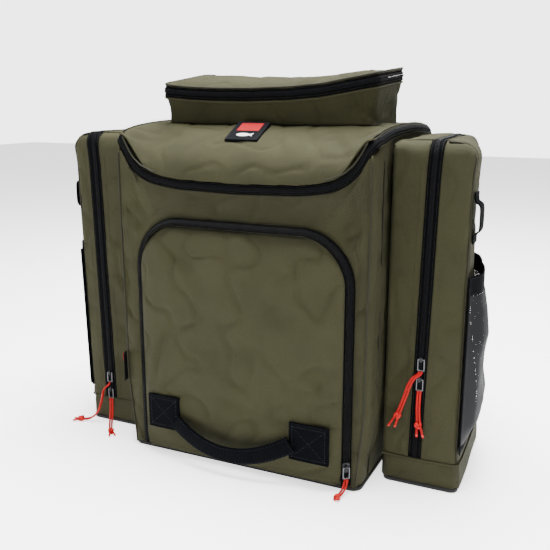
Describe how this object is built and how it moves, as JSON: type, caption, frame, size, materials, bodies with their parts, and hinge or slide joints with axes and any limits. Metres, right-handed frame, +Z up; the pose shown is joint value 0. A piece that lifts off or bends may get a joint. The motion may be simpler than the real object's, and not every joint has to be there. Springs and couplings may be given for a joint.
{
  "type": "tackle backpack",
  "caption": "Large angling backpack with zipped lid and top pocket, arched front pocket, tall side pockets with mesh sleeves, grab handle and padded shoulder straps.",
  "frame": {"origin": "on the floor under the centre of the main body, in the plane of its base", "axes": "+Z up, +Y towards the shoulder straps, +X along the width, to the right of someone who faces the front pocket"},
  "size_m": [0.6606, 0.4075, 0.562],
  "materials": {
    "fabric_olive": "matte woven",
    "webbing_black": "ribbed webbing",
    "zip_black": "woven tape with plastic coil",
    "base_black": "matte",
    "mesh_black": "open mesh",
    "patch_black": "woven patch",
    "tag_black": "woven tag",
    "slider_dark": "dark enamel",
    "wire_steel": "bright wire",
    "cord_red": "braided cord",
    "buckle_black": "matte",
    "pad_mesh": "spacer mesh over foam"
  },
  "bodies": {
    "pack": {"base_board": "base_black", "front_panel": "fabric_olive", "front_divider": "fabric_olive", "side_panel_left": "fabric_olive", "side_panel_right": "fabric_olive", "back_panel": "fabric_olive", "back_pads": "pad_mesh", "shoulder_straps": "fabric_olive", "strap_webbing": "webbing_black", "ladder_locks": "buckle_black", "side_shell_left": "fabric_olive", "side_shell_right": "fabric_olive", "side_zip_fixed_left": "zip_black", "side_zip_fixed_right": "zip_black", "front_zip_fixed": "zip_black", "lid_zip_lower": "zip_black", "seam_label": "tag_black"},
    "lid": {"lid_panel": "fabric_olive", "lid_zip_upper": "zip_black", "label_patch": "patch_black", "top_pocket_shell": "fabric_olive", "top_zip_lower": "zip_black"},
    "top_lid": {"top_pocket_lid": "fabric_olive", "top_zip_upper": "zip_black"},
    "flap": {"front_flap": "fabric_olive", "front_zip_moving": "zip_black", "handle_patches": "webbing_black"},
    "front_handle": {"front_handle": "webbing_black"},
    "haul_handle": {"haul_handle": "webbing_black"},
    "door_left": {"side_door_left": "fabric_olive", "side_zip_moving_left": "zip_black", "mesh_pocket_left": "mesh_black", "mesh_hem_left": "webbing_black", "accessory_loop_left": "webbing_black"},
    "door_right": {"side_door_right": "fabric_olive", "side_zip_moving_right": "zip_black", "mesh_pocket_right": "mesh_black", "mesh_hem_right": "webbing_black", "accessory_loop_right": "webbing_black"},
    "slider_side_right_upper": {"slider_side_right_upper": "slider_dark"},
    "pull_side_right_upper": {"puller_side_right_upper": "wire_steel", "pull_cord_side_right_upper": "cord_red"},
    "slider_side_right_lower": {"slider_side_right_lower": "slider_dark"},
    "pull_side_right_lower": {"puller_side_right_lower": "wire_steel", "pull_cord_side_right_lower": "cord_red"},
    "slider_side_left_upper": {"slider_side_left_upper": "slider_dark"},
    "pull_side_left_upper": {"puller_side_left_upper": "wire_steel", "pull_cord_side_left_upper": "cord_red"},
    "slider_side_left_lower": {"slider_side_left_lower": "slider_dark"},
    "pull_side_left_lower": {"puller_side_left_lower": "wire_steel", "pull_cord_side_left_lower": "cord_red"},
    "slider_front": {"slider_front": "slider_dark"},
    "pull_front": {"puller_front": "wire_steel", "pull_cord_front": "cord_red"},
    "slider_lid": {"slider_lid": "slider_dark"},
    "pull_lid": {"puller_lid": "wire_steel"},
    "slider_top": {"slider_top": "slider_dark"},
    "pull_top": {"puller_top": "wire_steel"}
  },
  "joints": [
    {"name": "lid_hinge", "type": "hinge", "parent": "pack", "child": "lid", "pos_m": [0, 0.15, 0.4865], "axis": [-1, 0, 0], "range_deg": [0, 105]},
    {"name": "top_pocket_hinge", "type": "hinge", "parent": "lid", "child": "top_lid", "pos_m": [0, 0.0656, 0.5482], "axis": [-1, 0, 0], "range_deg": [0, 85]},
    {"name": "flap_hinge", "type": "hinge", "parent": "pack", "child": "flap", "pos_m": [0, -0.15, 0.014], "axis": [1, 0, 0], "range_deg": [0, 65]},
    {"name": "front_handle_swing", "type": "hinge", "parent": "flap", "child": "front_handle", "pos_m": [0, -0.172, 0.075], "axis": [-1, 0, 0], "range_deg": [0, 150]},
    {"name": "haul_handle_swing", "type": "hinge", "parent": "pack", "child": "haul_handle", "pos_m": [0, 0.1519, 0.474], "axis": [1, 0, 0], "range_deg": [0, 110]},
    {"name": "door_right_hinge", "type": "hinge", "parent": "pack", "child": "door_right", "pos_m": [0.306, 0, 0.042], "axis": [0, 1, 0], "range_deg": [0, 75]},
    {"name": "door_left_hinge", "type": "hinge", "parent": "pack", "child": "door_left", "pos_m": [-0.3069, 0, 0.042], "axis": [0, -1, 0], "range_deg": [0, 75]},
    {"name": "slider_side_right_upper_travel", "type": "slide", "parent": "pack", "child": "slider_side_right_upper", "axis": [0.0232, 0, 0.9997], "range_m": [0, 0.25]},
    {"name": "puller_side_right_upper_swing", "type": "hinge", "parent": "slider_side_right_upper", "child": "pull_side_right_upper", "pos_m": [0.24935, -0.1024, 0.186], "axis": [-1, 0, 0], "range_deg": [0, 150]},
    {"name": "slider_side_right_lower_travel", "type": "slide", "parent": "pack", "child": "slider_side_right_lower", "axis": [0.0232, 0, 0.9997], "range_m": [-0.06, 0]},
    {"name": "puller_side_right_lower_swing", "type": "hinge", "parent": "slider_side_right_lower", "child": "pull_side_right_lower", "pos_m": [0.2487, -0.1024, 0.158], "axis": [-1, 0, 0], "range_deg": [0, 50]},
    {"name": "slider_side_left_upper_travel", "type": "slide", "parent": "pack", "child": "slider_side_left_upper", "axis": [-0.0232, 0, 0.9997], "range_m": [0, 0.35]},
    {"name": "puller_side_left_upper_swing", "type": "hinge", "parent": "slider_side_left_upper", "child": "pull_side_left_upper", "pos_m": [-0.26302, -0.1024, 0.086], "axis": [-1, 0, 0], "range_deg": [0, 50]},
    {"name": "slider_side_left_lower_travel", "type": "slide", "parent": "pack", "child": "slider_side_left_lower", "axis": [-0.0232, 0, 0.9997], "range_m": [-0.004, 0]},
    {"name": "puller_side_left_lower_swing", "type": "hinge", "parent": "slider_side_left_lower", "child": "pull_side_left_lower", "pos_m": [-0.26237, -0.1024, 0.058], "axis": [-1, 0, 0], "range_deg": [0, 40]},
    {"name": "slider_front_travel", "type": "slide", "parent": "flap", "child": "slider_front", "axis": [0, 0, 1], "range_m": [0, 0.235]},
    {"name": "puller_front_swing", "type": "hinge", "parent": "slider_front", "child": "pull_front", "pos_m": [0.16844, -0.15966, 0.038], "axis": [-0.8319, -0.5549, 0], "range_deg": [0, 50]},
    {"name": "slider_lid_travel", "type": "slide", "parent": "lid", "child": "slider_lid", "axis": [0, 0.9997, 0.0225], "range_m": [-0.03, 0]},
    {"name": "puller_lid_swing", "type": "hinge", "parent": "slider_lid", "child": "pull_lid", "pos_m": [-0.1994, 0.1305, 0.47554], "axis": [0, 0.9997, 0.0225], "range_deg": [0, 120]},
    {"name": "slider_top_travel", "type": "slide", "parent": "lid", "child": "slider_top", "axis": [0, 0.9917, 0.1283], "range_m": [-0.05, 0.02]},
    {"name": "puller_top_swing", "type": "hinge", "parent": "slider_top", "child": "pull_top", "pos_m": [-0.1704, 0.02, 0.54224], "axis": [0, 0.9916, 0.129], "range_deg": [0, 120]}
  ]
}
